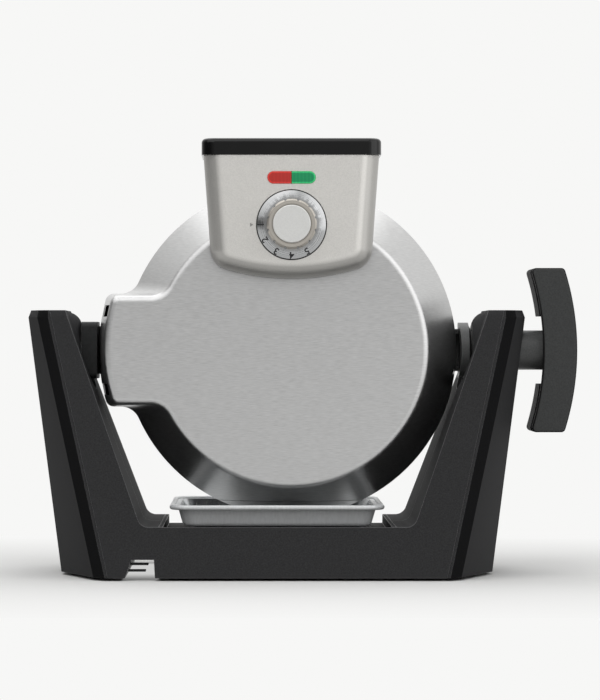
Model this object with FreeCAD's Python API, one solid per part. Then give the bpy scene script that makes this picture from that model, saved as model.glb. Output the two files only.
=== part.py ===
import FreeCAD, Part
import math
import os

# Rotary waffle maker: a round cooker turns on a level axle between the two arms of a U-shaped stand.
# X runs along the axle towards the handle, Y runs from the front to the back and Z is up.
# Lengths are millimetres. The model is drawn about the stand's middle plane,
# and moved to its own middle at the end.

# Axle and cooker
axle_height = 157.0
axle_radius = 14.0
running_gap = 0.05
seat_gap = 0.3
disc_offset = 9.6
rim_radius = 117.7
cone_run = 23.0
face_depth = 45.0
rim_front = 1.5
rim_band = 2.0
cover_wall = 1.1
face_round = 5.0
block_reach = 17.8
block_end_taper = 6.0
block_half_height = 40.0
block_height_taper = 2.0
block_blend = 14.0
block_corner = 6.0

# Drip tray, which lies close under the cooker
tray_room = 4.3
tray_height = 15.2
tray_length = 149.0
tray_depth = 125.0
tray_draft = 3.8
tray_flange = 4.0
tray_corner = 15.0
tray_floor_corner = 9.0
tray_floor_round = 4.0
tray_rim_bead = 1.7
tray_wall = 0.9
tray_seat_depth = 1.0
tray_side_gap = 4.0
deck_height = 5.5
deck_inset = 8.0

# Stand
foot_height = 2.0
arm_rise = 28.0
arm_clear = 10.5
arm_lean = 0.3651
arm_face_low = 36.3
arm_face_high = 12.9
opening_corner = 8.0
strip_width = 8.0
strip_depth = 6.0
facet_low = 25.3
facet_high = 6.8
half_depth_low = 86.0
half_depth_high = 33.0
side_half_low = 28.1
side_half_high = 13.1
stand_wall = 2.5
crown = 5.0
seam = 0.3
seam_inset = 2.0
bearing_radius = 27.0
bearing_inset = 0.2
bearing_length = 20.0
bearing_round = 11.0
bush_wall = 4.0

# Cord channel along the underside, with two cleat fins at its front
slot_inset = 4.7
slot_width = 21.4
slot_share = 0.36
slot_left_slant = 5.0
slot_right_slant = 1.0
fin_thickness = 1.0
fin_length = 13.0
fin_depth = 10.0
fin_low_share = 0.33
fin_high_share = 0.69

# Bottom plate, feet, posts and screws
plate_thickness = 2.5
foot_radius = 9.0
foot_outset = 2.5
foot_setback = 28.0
post_radius = 5.0
post_inset = 18.5
post_setback = 24.0
post_grip_share = 0.44
side_post_inset = 6.8
side_post_height = 22.0
screw_grip = 11.0
screw_radius = 1.9
screw_head_radius = 3.6
screw_head_height = 1.6

# Rim rings, waffle plates and heaters
parting_gap = 0.15
ring_depth = 8.0
ring_ledge = 6.6
ring_overhang = 0.5
plate_inset = 22.0
plate_flange = 3.1
plate_top = 4.6
plate_flange_depth = 2.0
valley_depth = 10.4
plate_floor = 4.0
waffle_inset = 11.7
waffle_wall_slope = 4.0
post_pitch = 20.0
post_foot = 12.0
post_tip = 8.0
post_root = 1.0
cross_rib = 5.0
plate_boss_radius = 5.0
plate_boss_inset = 10.0
element_inset = 26.0
element_radius = 4.0
element_gap = 0.2
element_turn = 320.0
element_bend = 8.0
element_leg = 6.0
reflector_outset = 2.3
reflector_wall = 0.8
reflector_depth = 24.0

# Overflow lip: the lowest part of the wall stays on the rear half, so that the lid passes over the tray
lid_clear = 0.8
lip_gap = 0.3
lip_root = 4.0

# Hinge
pin_inset = 7.5
pin_depth = 36.5
pin_radius = 3.0
knuckle_radius = 7.0
knuckle_half = 22.0
lug_half_width = 4.6
end_relief = 1.2
lug_inner = 24.0
lug_thickness = 7.0
lug_gap = 0.5
neck_half_height = 20.0
neck_half_depth = 19.0
neck_gap = 0.6
neck_clear = 0.5
neck_round = 4.0
root_depth = 10.0
root_half = 17.0
root_reach = 20.0

# Right boss, shaft and retaining rings
collar_radius = 19.5
collar_gap = 3.0
collar_clear = 2.4
cone_clear = 0.6
cone_step = 1.0
collar_root_half = 15.0
shaft_seat = 10.0
shaft_hole_gap = 1.0
trunnion_tail = 3.0
ring_groove = 1.0
ring_width = 1.5
ring_lip = 3.5

# Lock bolt in the right boss
bolt_radius = 1.8
bolt_y = -5.5
bolt_drop = 15.5
bolt_lead = 0.3
bolt_length = 5.0
thumb_inset = 2.0
thumb_width = 1.6
thumb_half = 1.0
thumb_reach = 21.5
bolt_hole_gap = 0.3

# Handle: a front plate and a rear shell, parted by a groove down to the core
hand_room = 15.5
handle_thickness = 23.8
handle_arc = 188.0
handle_length = 115.5
handle_depth = 44.0
handle_plate = 5.0
handle_groove = 9.0
handle_core_inset = 6.0
handle_corner = 3.0
handle_bevel = 1.8
notch_half = 24.0
notch_depth = 3.0
notch_step = 4.0
handle_screw_offset = 36.0
handle_screw_tip = 2.5
screw_well_depth = 20.0
screw_well_gap = 0.6

# Control box
box_offset = 0.2
box_rise = 16.9
box_height = 85.1
box_side_height = 75.3
box_half_low = 55.3
box_half_high = 60.8
box_corner = 15.0
panel_front = 64.0
panel_back = 49.5
panel_round = 13.0
panel_wall = 2.5
panel_room_inset = 8.0
box_back = 3.0
box_wall = 2.2
cap_height = 11.4
cap_side = 1.2
cap_proud = 1.0
cap_corner = 9.0
cap_round = 3.0

# Dial and lights
dial_drop = 48.3
dial_skirt_radius = 23.7
dial_skirt_edge = 1.2
dial_skirt_depth = 4.0
dial_skirt_neck = 18.2
dial_grip_radius = 17.1
dial_grip_depth = 11.0
dial_groove = 0.9
dial_grooves = 12
dial_lip = 1.2
dial_cap_radius = 13.0
dial_cap_depth = 1.6
dial_cap_gap = 0.7
dial_gap = 0.4
dial_shaft_radius = 3.0
dial_shaft_length = 22.0
light_drop = 15.8
light_length = 33.2
light_height = 8.4
light_proud = 0.8
light_seat = 0.1
thermostat_size = 28.0
thermostat_depth = 9.0

# Places worked out from the sizes above
axle = FreeCAD.Vector(disc_offset, 0, axle_height)
face_radius = rim_radius - cone_run
cone_slope = cone_run / (face_depth - rim_front - rim_band)
block_end_radius = rim_radius + block_reach
shell_bottom = foot_height
stand_height = axle_height + arm_rise
tray_floor = axle_height - rim_radius - tray_room
tray_rim_top = tray_floor + tray_height
seat_floor = tray_floor - deck_height
tray_seat_half = tray_length / 2 + tray_side_gap
bar_top = tray_floor + tray_seat_depth
lid_floor = tray_rim_top + lid_clear
arm_gap = disc_offset + rim_radius + arm_clear
opening_half_low = arm_gap - arm_lean * (axle_height - bar_top)
opening_half_high = arm_gap + arm_lean * arm_rise
front_half_low = arm_gap - arm_lean * (axle_height - shell_bottom) + arm_face_low
front_half_high = opening_half_high + arm_face_high
outer_half_low = front_half_low + strip_width + facet_low
outer_half_high = front_half_high + strip_width + facet_high
slot_height = slot_share * (bar_top - shell_bottom)
slot_right = -tray_seat_half - slot_inset
slot_left = slot_right - slot_width
post_top = seat_floor - stand_wall
post_grip = post_grip_share * (post_top - shell_bottom - plate_thickness)
post_x = tray_seat_half - post_inset
post_y = half_depth_low - post_setback
side_post_x = outer_half_low - side_post_inset
foot_x = front_half_low + foot_outset
foot_y = half_depth_low - foot_setback
bearing_start = arm_gap + bearing_inset
bearing_end = bearing_start + bearing_length
bush_radius = axle_radius + running_gap + bush_wall
plate_radius = rim_radius - plate_inset
plate_back = plate_top + valley_depth + plate_floor
waffle_radius = plate_radius - waffle_inset
plate_boss_circle = waffle_radius - plate_boss_inset
element_circle = waffle_radius - element_inset
reflector_radius = face_radius + reflector_outset
pin_x = disc_offset - block_end_radius + block_end_taper + pin_inset
neck_end = bearing_start - neck_clear
rim_right = disc_offset + rim_radius
collar_start = rim_right + collar_gap
collar_end = bearing_start - collar_clear
cone_end = bearing_start - cone_clear
box_center = disc_offset + box_offset
box_top = axle_height + rim_radius + box_rise
dial_z = box_top - dial_drop
light_z = box_top - light_drop
pieces = {}


def vec(x, y, z):
    return FreeCAD.Vector(x, y, z)


def box(x, y, z):
    """Block between two values on each axis."""
    corner = vec(min(x), min(y), min(z))
    return Part.makeBox(max(x) - min(x), max(y) - min(y), max(z) - min(z), corner)


def rod_x(radius, start, end, y=0.0, z=axle_height):
    return Part.makeCylinder(radius, end - start, vec(start, y, z), vec(1, 0, 0))


def rod_y(radius, start, end, x, z):
    return Part.makeCylinder(radius, end - start, vec(x, start, z), vec(0, 1, 0))


def rod_z(radius, start, end, x, y):
    return Part.makeCylinder(radius, end - start, vec(x, y, start), vec(0, 0, 1))


def prism_y(outline, start, end):
    """Flat X and Z outline drawn out along Y."""
    corners = [vec(x, start, z) for x, z in outline]
    face = Part.Face(Part.makePolygon(corners + corners[:1]))
    return face.extrude(vec(0, end - start, 0))


def turned(profile):
    """Outline of radius and depth turned about the cooker's own middle line."""
    corners = [vec(disc_offset + radius, depth, axle_height) for radius, depth in profile]
    face = Part.Face(Part.makePolygon(corners + corners[:1]))
    return face.revolve(axle, vec(0, 1, 0), 360)


def to_front(shape):
    """The rear half's piece, mirrored to the front half."""
    return shape.mirror(vec(0, 0, 0), vec(0, 1, 0))


def to_left(shape):
    return shape.mirror(vec(0, 0, 0), vec(1, 0, 0))


def joined(shapes):
    return shapes[0].multiFuse(shapes[1:]).removeSplitter()


# Stand

def along(height, low, high):
    """Size at a height, between its value at the shell's bottom and at the arms' tops."""
    share = (height - shell_bottom) / (stand_height - shell_bottom)
    return low + (high - low) * share


def stand_section(height, inset):
    """Level outline of the stand's outside: front face, strip, facet and side in each quarter."""
    face_half = along(height, front_half_low, front_half_high)
    outer_half = along(height, outer_half_low, outer_half_high)
    half_depth = along(height, half_depth_low, half_depth_high)
    strip_half = face_half + strip_width
    strip_y = half_depth - strip_depth
    side_y = along(height, side_half_low, side_half_high)
    quarter = [(face_half, half_depth), (strip_half, strip_y), (outer_half, side_y)]
    right = [(x, -y) for x, y in quarter] + [(x, y) for x, y in reversed(quarter)]
    left = [(-x, y) for x, y in reversed(right)]
    corners = [vec(x, y, height) for x, y in right + left]
    outline = Part.makePolygon(corners + corners[:1])
    return outline.makeOffset2D(-inset, 2) if inset else outline


def stand_form(inset, low):
    """Leaning outside of the stand with its bevelled crown, or its inside when inset by the wall."""
    top = stand_height - inset
    foot = stand_section(low, inset)
    shoulder = stand_section(top - crown, inset)
    crest = stand_section(top, inset + crown / 2)
    body = Part.makeLoft([foot, shoulder], True, True)
    return body.fuse(Part.makeLoft([shoulder, crest], True, True)).removeSplitter()


def opening_form(wall):
    """The U-shaped gap between the arms, or that gap and its wall."""
    lean = (opening_half_high - opening_half_low) / (stand_height - bar_top)
    floor = bar_top - wall
    low = opening_half_low - lean * wall + wall * math.hypot(1, lean)
    top = stand_height + stand_wall
    high = low + lean * (top - floor)
    outline = [(-low, floor), (low, floor), (high, top), (-high, top)]
    gap = prism_y(outline, -half_depth_low, half_depth_low)
    corners = [e for e in gap.Edges if e.BoundBox.ZMax < floor + seam and e.BoundBox.YLength > seam]
    return gap.makeFillet(opening_corner + wall, corners)


def cord_slot(wall):
    """Slot along the underside from front to back, or that slot and its wall."""
    top = shell_bottom + slot_height + wall
    low = shell_bottom - stand_wall
    outline = [
        (slot_left - wall, low),
        (slot_left + slot_left_slant - wall, top),
        (slot_right - slot_right_slant + wall, top),
        (slot_right + wall, low),
    ]
    return prism_y(outline, -half_depth_low, half_depth_low)


def tray_seat(wall):
    """Room for the tray between the ledges, or that room and the floor and sides of its insert."""
    end = along(bar_top, half_depth_low, half_depth_high) - stand_wall - seam
    half = tray_seat_half + wall
    return box((-half, half), (-end, end), (seat_floor - wall, bar_top + stand_wall))


def rear_notch():
    """The rear wall is cut down to the seat's floor, so that the tray slides out backwards."""
    rises = (seat_floor, bar_top + stand_wall)
    return box((-tray_seat_half, tray_seat_half), (0, half_depth_low), rises)


def stand_shell():
    """Walls of the whole stand, cut for the tray seat, the cord and the bearings."""
    outside = stand_form(0, shell_bottom).cut(opening_form(0))
    hollow = stand_form(stand_wall, shell_bottom - stand_wall).cut(opening_form(stand_wall))
    bearing_hole = rod_x(bearing_radius + seam, 0, bearing_end)
    shell = outside.cut(hollow)
    bearing_holes = [bearing_hole, to_left(bearing_hole)]
    for cut in [tray_seat(stand_wall + seam), rear_notch(), cord_slot(0)] + bearing_holes:
        shell = shell.cut(cut)
    return shell


def beyond_seam(side, gap):
    """Everything outside the seam that runs up beside the front face; side is 1 on the right."""
    low = front_half_low - seam_inset + gap
    high = front_half_high - seam_inset + gap
    far = 2 * outer_half_high
    outline = [(low, shell_bottom), (high, stand_height), (far, stand_height), (far, shell_bottom)]
    return prism_y([(side * x, z) for x, z in outline], -half_depth_low, half_depth_low)


def cleat_fins():
    """Two thin fins that hold the cord in its channel."""
    fins = []
    front = stand_wall + 2 * seam - along(shell_bottom + slot_height, half_depth_low, half_depth_high)
    for share in (fin_low_share, fin_high_share):
        left = slot_left + slot_left_slant * share
        low = shell_bottom + slot_height * share
        x_range = (left - stand_wall / 2, left + fin_length)
        fins.append(box(x_range, (front, front + fin_depth), (low, low + fin_thickness)))
    return fins


def screw_post(x, y, top):
    """Post on the bottom plate's upper face, drilled for its screw."""
    low = shell_bottom + plate_thickness
    return rod_z(post_radius, low, top, x, y).cut(rod_z(screw_radius, low, low + post_grip, x, y))


def make_shells():
    shell = stand_shell()
    far = 2 * outer_half_high
    rises = (0, stand_height + bearing_radius)
    front_half = box((-far, far), (-far, 0), rises)
    rear_half = box((-far, far), (seam, far), rises)
    middle = shell.cut(beyond_seam(1, 0)).cut(beyond_seam(-1, 0))
    pieces["base_front_shell"] = middle.common(front_half)
    pieces["base_rear_shell"] = middle.common(rear_half)
    shaft_hole = rod_x(axle_radius + shaft_hole_gap, bearing_start, far)
    side_top = shell_bottom + plate_thickness + side_post_height
    for side, name in ((1, "right_side_cover"), (-1, "left_side_cover")):
        post = screw_post(side * side_post_x, 0, side_top).common(stand_form(0, shell_bottom))
        pieces[name] = joined([shell.common(beyond_seam(side, seam)), post]).cut(shaft_hole)


def tray_deck(wall):
    """Raised deck that the tray stands on, or the hollow below it when inset by the wall."""
    half = tray_length / 2 - tray_rim_bead - tray_flange - tray_draft - deck_inset - wall
    side = tray_depth / 2 - tray_rim_bead - tray_flange - tray_draft - deck_inset - wall
    return box((-half, half), (-side, side), (seat_floor - stand_wall, tray_floor - wall))


def make_inserts():
    """Insert with the deck for the tray, on four posts, and the channel for the cord."""
    insert = tray_seat(stand_wall).common(below(bar_top)).cut(tray_seat(0))
    posts = [screw_post(x, y, post_top) for x in (-post_x, post_x) for y in (-post_y, post_y)]
    pieces["tray_seat_insert"] = joined([insert, tray_deck(0)] + posts).cut(tray_deck(stand_wall))
    channel = cord_slot(stand_wall).cut(cord_slot(0)).common(stand_form(stand_wall + seam, shell_bottom))
    pieces["cord_channel"] = joined([channel] + cleat_fins())


def make_underside():
    """Bottom plates on both sides of the cord channel, with their screws and the feet."""
    inset = stand_wall + seam
    levels = (shell_bottom, shell_bottom + plate_thickness)
    plate = Part.makeLoft([stand_section(level, inset) for level in levels], True, True)
    plate = plate.cut(cord_slot(inset))
    places = [(x, y) for x in (-post_x, post_x) for y in (-post_y, post_y)]
    places += [(-side_post_x, 0), (side_post_x, 0)]
    screws = []
    for x, y in places:
        head = rod_z(screw_head_radius, shell_bottom, shell_bottom + screw_head_height, x, y)
        shank = rod_z(screw_radius, shell_bottom, shell_bottom + plate_thickness + post_grip, x, y)
        screw = joined([head, shank])
        plate = plate.cut(screw)
        screws.append(screw)
    left, right = sorted(plate.Solids, key=lambda solid: solid.CenterOfMass.x)
    pieces["base_bottom_plate"] = right
    pieces["base_left_plate"] = left
    pieces["base_screws"] = Part.makeCompound(screws)
    feet = [rod_z(foot_radius, 0, foot_height, x, y) for x in (-foot_x, foot_x) for y in (-foot_y, foot_y)]
    pieces["rubber_feet"] = Part.makeCompound(feet)


def make_bearings():
    """Bearing rings in both arms, each with a rounded nose towards the cooker, and the bushes in them."""
    ring = rod_x(bearing_radius, bearing_start, bearing_end)
    nose = [e for e in ring.Edges if e.BoundBox.XMax < bearing_start + seam]
    ring = ring.makeFillet(bearing_round, nose).cut(rod_x(bush_radius, bearing_start, bearing_end))
    pieces["right_bearing"] = ring
    pieces["left_bearing"] = to_left(ring)
    bush = rod_x(bush_radius, bearing_start, bearing_end)
    bush = bush.cut(rod_x(axle_radius + running_gap, bearing_start, bearing_end))
    pieces["right_bush"] = bush
    pieces["left_bush"] = to_left(bush)


# Drip tray

def tray_outline(length, depth, corner, height):
    """Level rectangle with round corners."""
    half = length / 2 - corner
    side = depth / 2 - corner
    edges = []
    for turn in range(4):
        angle = math.radians(90 * turn)
        x = half * (1 if turn in (0, 3) else -1)
        y = side * (1 if turn in (0, 1) else -1)
        points = []
        for share in (0, 45, 90):
            bend = angle + math.radians(share)
            points.append(vec(x + corner * math.cos(bend), y + corner * math.sin(bend), height))
        if edges:
            edges.append(Part.LineSegment(edges[-1].Vertexes[-1].Point, points[0]).toShape())
        edges.append(Part.Arc(*points).toShape())
    edges.append(Part.LineSegment(edges[-1].Vertexes[-1].Point, edges[0].Vertexes[0].Point).toShape())
    return Part.Wire(edges)


def tray_form(inset, low, high):
    """Tapered pan, or its inside when inset by the sheet."""
    edge = inset + tray_rim_bead + tray_flange
    narrow = edge + tray_draft
    foot = tray_outline(tray_length - 2 * narrow, tray_depth - 2 * narrow, tray_floor_corner - inset, low)
    mouth = tray_outline(tray_length - 2 * edge, tray_depth - 2 * edge, tray_corner - edge, high)
    return Part.makeLoft([foot, mouth], True, True)


def make_tray():
    rim = tray_rim_top - tray_rim_bead
    pan = tray_form(0, tray_floor, rim)
    base_edges = [e for e in pan.Edges if e.BoundBox.ZMax < tray_floor + seam]
    pan = pan.makeFillet(tray_floor_round, base_edges)
    flange = Part.Face(tray_outline(
        tray_length - 2 * tray_rim_bead, tray_depth - 2 * tray_rim_bead, tray_corner - tray_rim_bead, rim))
    pan = joined([pan, flange.extrude(vec(0, 0, -tray_wall))])
    inside = tray_form(tray_wall, tray_floor + tray_wall, rim)
    inner_edges = [e for e in inside.Edges if e.BoundBox.ZMax < tray_floor + tray_wall + seam]
    pan = pan.cut(inside.makeFillet(tray_floor_round - tray_wall, inner_edges))
    path = flange.OuterWire
    start = path.Edges[0].Vertexes[0].Point
    circle = Part.Wire(Part.makeCircle(tray_rim_bead, start, vec(0, 1, 0)))
    bead = path.makePipeShell([circle], True, False, 2)
    pieces["drip_tray"] = joined([pan, bead])


# Cooker covers

def cover_outline(depth, radius, end_radius, half_height, corner):
    """Upright outline of a half: the disc, the hinge block at its left and the hollow curves between them."""
    middle = vec(disc_offset, depth, axle_height)
    reach = math.sqrt((radius + block_blend) ** 2 - (half_height + block_blend) ** 2)
    lean = math.asin((half_height + block_blend) / (radius + block_blend))
    bend = (lean + math.pi / 2) / 2
    corner_z = half_height - corner
    corner_x = -math.sqrt((end_radius - corner) ** 2 - corner_z ** 2)
    rise = math.asin(corner_z / (end_radius - corner))
    turn = (rise + math.pi / 2) / 2

    def place(x, z):
        return middle + vec(x, 0, z)

    def on_disc(side):
        return place(-radius * math.cos(lean), side * radius * math.sin(lean))

    def on_blend(side):
        x = -reach + block_blend * math.cos(bend)
        return place(x, side * (half_height + block_blend * (1 - math.sin(bend))))

    def on_end(side):
        return place(-end_radius * math.cos(rise), side * end_radius * math.sin(rise))

    def on_corner(side):
        return place(corner_x - corner * math.cos(turn), side * (corner_z + corner * math.sin(turn)))

    def on_line(x, side):
        return place(x, side * half_height)

    upper, lower = 1, -1
    edges = [
        Part.Arc(on_disc(upper), place(radius, 0), on_disc(lower)),
        Part.Arc(on_disc(lower), on_blend(lower), on_line(-reach, lower)),
        Part.LineSegment(on_line(-reach, lower), on_line(corner_x, lower)),
        Part.Arc(on_line(corner_x, lower), on_corner(lower), on_end(lower)),
        Part.Arc(on_end(lower), place(-end_radius, 0), on_end(upper)),
        Part.Arc(on_end(upper), on_corner(upper), on_line(corner_x, upper)),
        Part.LineSegment(on_line(corner_x, upper), on_line(-reach, upper)),
        Part.Arc(on_line(-reach, upper), on_blend(upper), on_disc(upper)),
    ]
    return Part.Wire([edge.toShape() for edge in edges])


def cover_form(inset):
    """The rear half's outside, or its inside when inset by the sheet."""
    shoulder = rim_front + rim_band
    corner = block_corner - inset
    rim = cover_outline(
        shoulder, rim_radius - inset, block_end_radius - inset, block_half_height - inset, corner)
    face = cover_outline(
        face_depth - inset,
        face_radius - inset,
        block_end_radius - block_end_taper - inset,
        block_half_height - block_height_taper - inset,
        corner,
    )
    cone = Part.makeLoft([rim, face], True, True)
    face_edges = [e for e in cone.Edges if e.BoundBox.YMin > face_depth - inset - seam]
    cone = cone.makeFillet(face_round - inset, face_edges)
    return joined([cone, Part.Face(rim).extrude(vec(0, -rim_band, 0))])


def below(height):
    """Everything under a level."""
    far = 2 * outer_half_high
    return box((-far, far), (-far, far), (-far, height))


def lug_slots():
    """Slots in the lid's end that let the hinge lugs swing through."""
    slots = []
    reach = pin_depth - rim_front
    for side in (-1, 1):
        low = axle_height + side * (lug_inner - lug_gap)
        high = axle_height + side * (lug_inner + lug_thickness + lug_gap)
        x_range = (pin_x - pin_inset - block_end_taper - cover_wall - reach, pin_x)
        y_range = (-pin_depth - lug_half_width - lug_gap, 0)
        slots.append(box(x_range, y_range, (low, high)))
    return slots


def swing_relief():
    """The lid's edge is cut back at the hinge end, so that it swings past the rear rim."""
    x_range = (disc_offset - block_end_radius, pin_x - lug_half_width)
    rises = (axle_height - block_half_height, axle_height + block_half_height)
    return box(x_range, (-rim_front - end_relief, 0), rises)


def bolt_hole():
    """Hole in the lid's edge that the lock bolt goes into."""
    start = disc_offset + face_radius
    return rod_x(bolt_radius + bolt_hole_gap, start, collar_start, bolt_y, axle_height - bolt_drop)


def plate_bosses():
    """Places of the cast posts that carry the cover and the reflector on the plate."""
    places = []
    for turn in range(4):
        angle = math.radians(45 + 90 * turn)
        x = disc_offset + plate_boss_circle * math.cos(angle)
        z = axle_height + plate_boss_circle * math.sin(angle)
        places.append((x, z))
    return places


def make_covers():
    outside = cover_form(0)
    sheet = outside.cut(cover_form(cover_wall))
    neck_hole = box(
        (pin_x - root_reach - block_end_radius, pin_x),
        (ring_depth - seat_gap, ring_depth + root_depth + seat_gap),
        (axle_height - root_half - seat_gap, axle_height + root_half + seat_gap))
    collar_hole = box(
        (disc_offset + face_radius, collar_start),
        (ring_depth - seat_gap, ring_depth + root_depth + seat_gap),
        (axle_height - collar_root_half - seat_gap, axle_height + collar_root_half + seat_gap))
    rear = sheet.cut(neck_hole).cut(collar_hole)
    for x, z in plate_bosses():
        rear = rear.cut(rod_y(screw_radius + seat_gap, 0, face_depth + seat_gap, x, z))
    pieces["rear_cover"] = rear

    front = to_front(sheet)
    lip = front.common(below(lid_floor - lip_gap))
    root = turned([
        (rim_radius - cover_wall - lip_root, parting_gap),
        (rim_radius - ring_overhang, parting_gap),
        (rim_radius - ring_overhang, -rim_front),
        (rim_radius - cover_wall / 2, -rim_front - rim_band),
        (rim_radius - cover_wall - lip_root, -rim_front - rim_band),
    ])
    root = root.common(below(lid_floor - lip_gap))
    pieces["overflow_lip"] = joined([lip, root])
    front = front.cut(below(lid_floor)).cut(bolt_hole())
    for slot in lug_slots() + [swing_relief()]:
        front = front.cut(slot)
    pieces["front_cover"] = front


# Rims, waffle plates and heaters

def rim_ring():
    """Black ring inside the edge of a half; its ledge carries the waffle plate."""
    seat = rim_radius - cover_wall - seat_gap
    return turned([
        (plate_radius + seat_gap, parting_gap),
        (rim_radius - ring_overhang, parting_gap),
        (rim_radius - ring_overhang, rim_front),
        (seat, rim_front),
        (seat - cone_slope * (ring_depth - rim_front), ring_depth),
        (plate_radius - plate_flange + seat_gap, ring_depth),
        (plate_radius - plate_flange + seat_gap, ring_ledge),
        (plate_radius + seat_gap, ring_ledge),
    ])


def waffle_posts():
    """Tapered posts in a square grid, four fields parted by a cross rib."""
    floor = plate_top + valley_depth
    posts = []
    count = int(waffle_radius // post_pitch)
    for column in range(-count - 1, count + 1):
        for row in range(-count - 1, count + 1):
            x = (column + 0.5) * post_pitch
            z = (row + 0.5) * post_pitch
            if math.hypot(x, z) + post_foot / 2 > waffle_radius:
                continue
            sections = []
            for depth, width in ((floor + post_root, post_foot), (plate_top, post_tip)):
                half = width / 2
                corners = [(-half, -half), (half, -half), (half, half), (-half, half)]
                points = [axle + vec(x + a, depth, z + b) for a, b in corners]
                sections.append(Part.makePolygon(points + points[:1]))
            posts.append(Part.makeLoft(sections, True, True))
    return posts


def waffle_plate():
    """Cast plate for the rear half: flange, dished wall, valley floor, posts and cross rib."""
    floor = plate_top + valley_depth
    pan = turned([
        (0, floor),
        (waffle_radius, floor),
        (waffle_radius + waffle_wall_slope, plate_top),
        (plate_radius, plate_top),
        (plate_radius, plate_top + plate_flange_depth),
        (plate_radius - plate_flange, plate_top + plate_flange_depth),
        (plate_radius - plate_flange - waffle_wall_slope / 2, plate_back),
        (0, plate_back),
    ])
    half = cross_rib / 2
    depths = (plate_top, floor + post_root)
    span = waffle_radius + post_root
    ribs = [
        box((disc_offset - span, disc_offset + span), depths, (axle_height - half, axle_height + half)),
        box((disc_offset - half, disc_offset + half), depths, (axle_height - span, axle_height + span)),
    ]
    bosses = [
        rod_y(plate_boss_radius, plate_back - post_root, face_depth - cover_wall, x, z)
        for x, z in plate_bosses()
    ]
    return joined([pan] + ribs + waffle_posts() + bosses)


def element_side(side):
    """Where the heater's ring ends and how it runs on there: 1 is the right end and -1 the left one."""
    angle = math.radians((360 - element_turn) / 2 - 90)
    way = vec(side * math.sin(angle), 0, -math.cos(angle))
    across = side * element_circle * math.cos(angle)
    return vec(disc_offset + across, 0, axle_height + element_circle * math.sin(angle)), way


def heating_element():
    """Bent tube heater behind the plate; both ends bend back to legs for its wires."""
    depth = vec(0, plate_back + element_gap + element_radius, 0)
    back = vec(0, 1, 0)
    parts = []
    for side in (1, -1):
        end, way = element_side(side)
        circle = Part.Face(Part.Wire(Part.makeCircle(element_radius, end + depth, way)))
        if not parts:
            parts.append(circle.revolve(axle + depth, -back, element_turn))
        parts.append(circle.revolve(end + depth + back * element_bend, way.cross(back), 90))
        leg = Part.Face(Part.Wire(Part.makeCircle(
            element_radius, end + depth + (way + back) * element_bend, back)))
        parts.append(leg.extrude(back * element_leg))
    return joined(parts)


def reflector():
    """Sheet dish behind the heater; its edge stands on the rim ring."""
    back = ring_depth + reflector_depth
    dish = turned([
        (0, back),
        (reflector_radius - reflector_wall, back),
        (reflector_radius - reflector_wall, ring_depth),
        (reflector_radius, ring_depth),
        (reflector_radius, back + reflector_wall),
        (0, back + reflector_wall),
    ])
    for x, z in plate_bosses():
        dish = dish.cut(rod_y(plate_boss_radius + seat_gap, 0, face_depth, x, z))
    for side in (1, -1):
        end, way = element_side(side)
        leg = end + way * element_bend
        dish = dish.cut(rod_y(element_radius + seat_gap, 0, face_depth, leg.x, leg.z))
    return dish


def make_halves():
    ring = rim_ring()
    pieces["rear_rim"] = ring
    pieces["front_rim"] = to_front(ring).cut(below(lid_floor)).cut(bolt_hole())
    plate = waffle_plate()
    pieces["front_plate"] = to_front(plate)
    screws = []
    for x, z in plate_bosses():
        tip = face_depth - screw_grip
        screw = joined([
            rod_y(screw_radius, tip, face_depth, x, z),
            rod_y(screw_head_radius, face_depth, face_depth + screw_head_height, x, z),
        ])
        plate = plate.cut(rod_y(screw_radius, tip, face_depth, x, z))
        screws.append(screw)
    pieces["rear_plate"] = plate
    pieces["rear_cover_screws"] = Part.makeCompound(screws)
    pieces["rear_element"] = heating_element()
    pieces["front_element"] = to_front(heating_element())
    pieces["rear_reflector"] = reflector()
    pieces["front_reflector"] = to_front(reflector())


# Hinge and bearings

def make_hinge():
    """Bracket at the left of the rear half: the neck on the axle, its root and the two hinge lugs."""
    block_left = disc_offset - block_end_radius
    neck = box(
        (-neck_end, block_left - neck_gap),
        (-neck_half_depth, neck_half_depth),
        (axle_height - neck_half_height, axle_height + neck_half_height))
    neck = neck.makeFillet(neck_round, [e for e in neck.Edges if e.BoundBox.XLength > neck_round])
    root_y = (ring_depth, ring_depth + root_depth)
    ring_left = disc_offset - rim_radius
    root = box(
        (block_left - neck_gap - neck_round, ring_left + root_reach),
        root_y,
        (axle_height - root_half, axle_height + root_half))
    lug_top = lug_inner + lug_thickness
    lug_x = (pin_x - lug_half_width, pin_x + lug_half_width)
    web = box(lug_x, root_y, (axle_height - lug_top, axle_height + lug_top))
    solids = [neck, root, web]
    for side in (-1, 1):
        near = axle_height + side * lug_inner
        far = axle_height + side * lug_top
        solids.append(box(lug_x, (-pin_depth, ring_depth + root_depth), (near, far)))
        solids.append(rod_z(lug_half_width, min(near, far), max(near, far), pin_x, -pin_depth))
    pin_hole = rod_z(pin_radius, axle_height - lug_top, axle_height + lug_top, pin_x, -pin_depth)
    pieces["hinge_bracket"] = joined(solids).cut(pin_hole)
    pieces["hinge_pin"] = pin_hole.copy()

    low = axle_height - knuckle_half
    high = axle_height + knuckle_half
    barrel = rod_z(knuckle_radius, low, high, pin_x, -pin_depth)
    leaf = box((pin_x, pin_x + 2 * knuckle_radius), (-face_depth + cover_wall, -pin_depth), (low, high))
    bore = rod_z(pin_radius + running_gap, low, high, pin_x, -pin_depth)
    wall_stop = to_front(cover_form(cover_wall))
    pieces["lid_knuckle"] = joined([barrel, leaf]).common(wall_stop).cut(bore)


def snap_ring(start):
    """Retaining ring in its groove on the axle."""
    ring = rod_x(axle_radius + ring_lip, start, start + ring_width)
    return ring.cut(rod_x(axle_radius - ring_groove, start, start + ring_width))


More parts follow.
